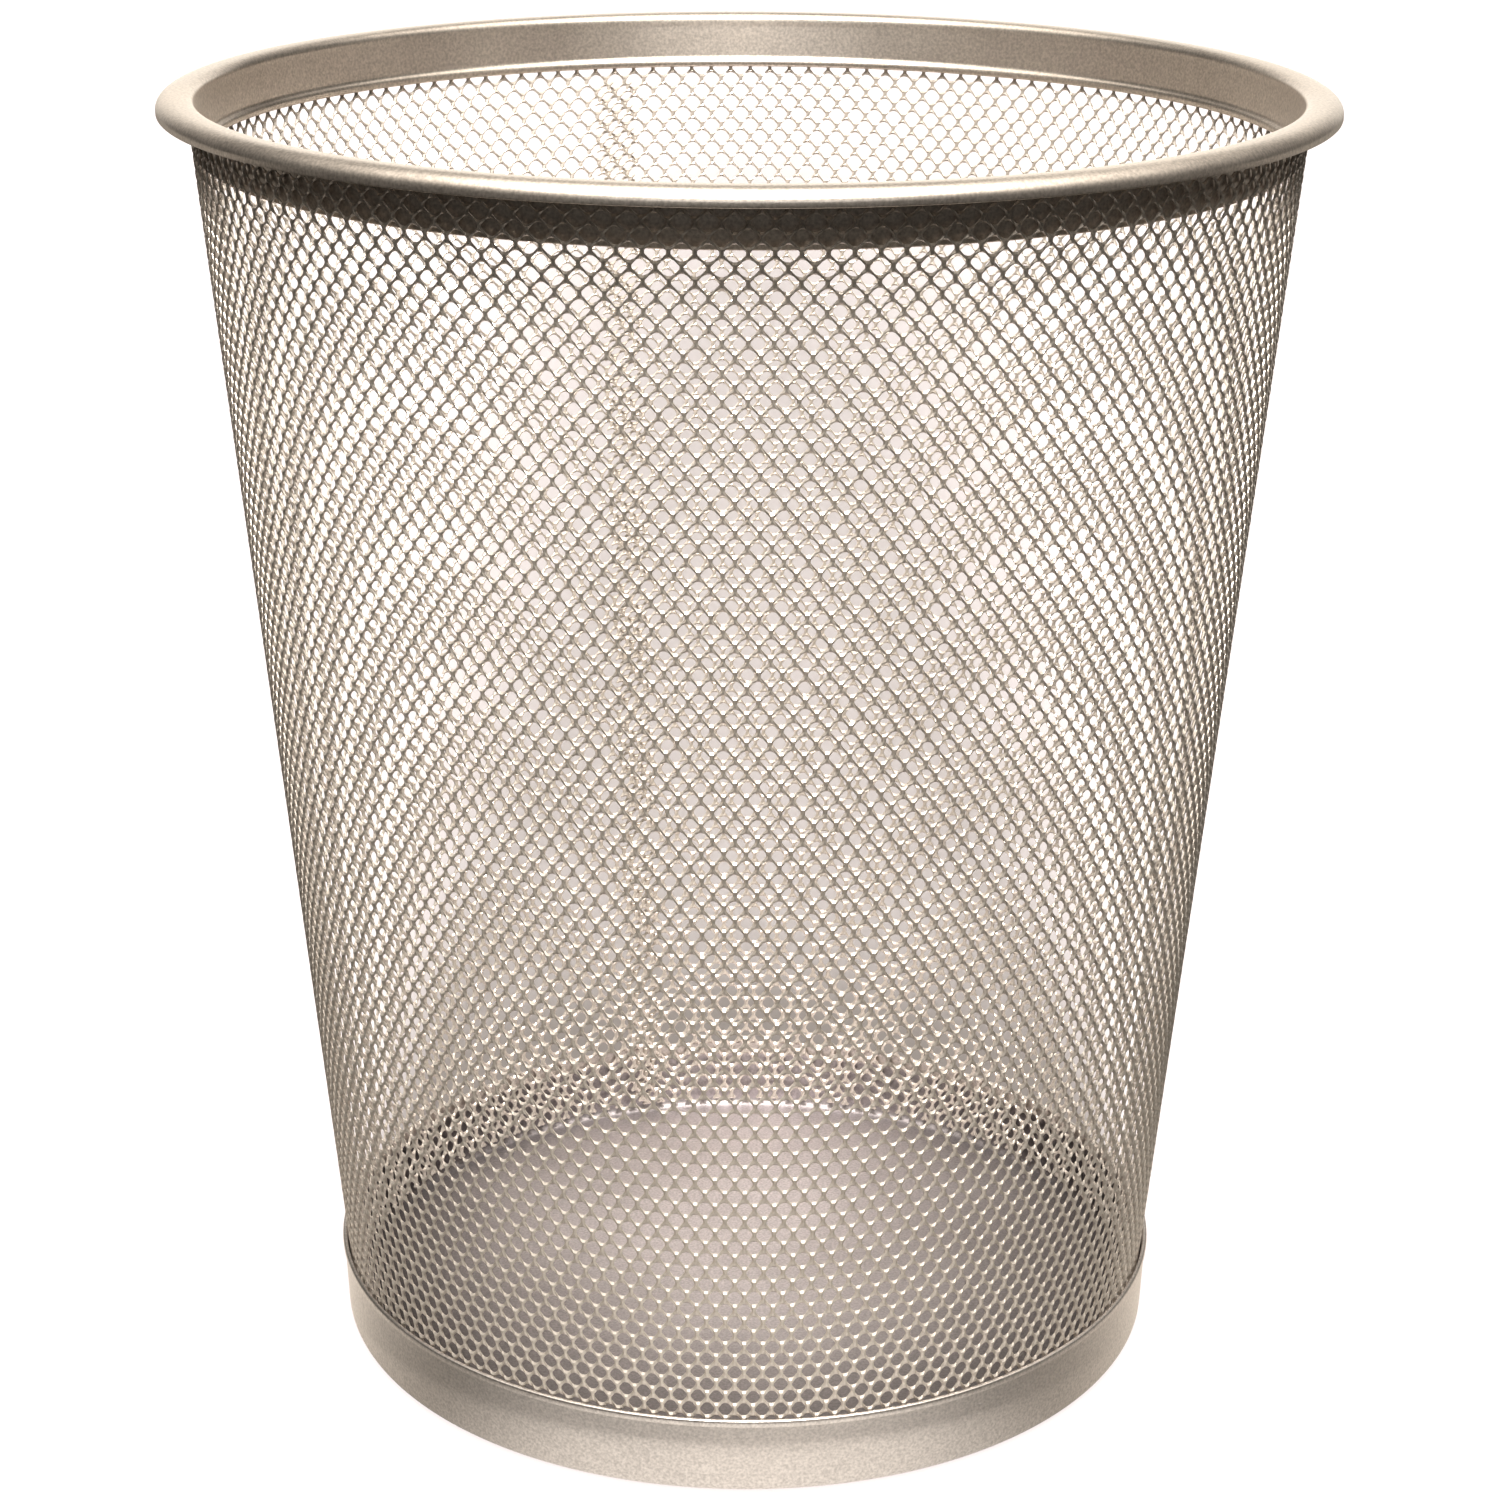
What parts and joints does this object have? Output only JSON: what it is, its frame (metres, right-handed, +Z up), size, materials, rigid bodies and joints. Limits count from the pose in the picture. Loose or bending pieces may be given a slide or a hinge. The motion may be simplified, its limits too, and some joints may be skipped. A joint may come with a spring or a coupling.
{
  "type": "wastebasket",
  "caption": "Round tapered wastebasket of silver-painted expanded steel mesh with a rolled rim and a pressed base pan.",
  "frame": {"origin": "centre of the base pan's underside, on the ground", "axes": "+Z up along the basket's axis, towards the open mouth"},
  "size_m": [0.305, 0.305, 0.35],
  "materials": {
    "rim_paint": "satin",
    "mesh_paint": "satin",
    "pan_paint": "satin"
  },
  "bodies": {
    "root": {"base_pan": "pan_paint", "mesh_sleeve": "mesh_paint", "top_rim": "rim_paint"}
  },
  "joints": []
}
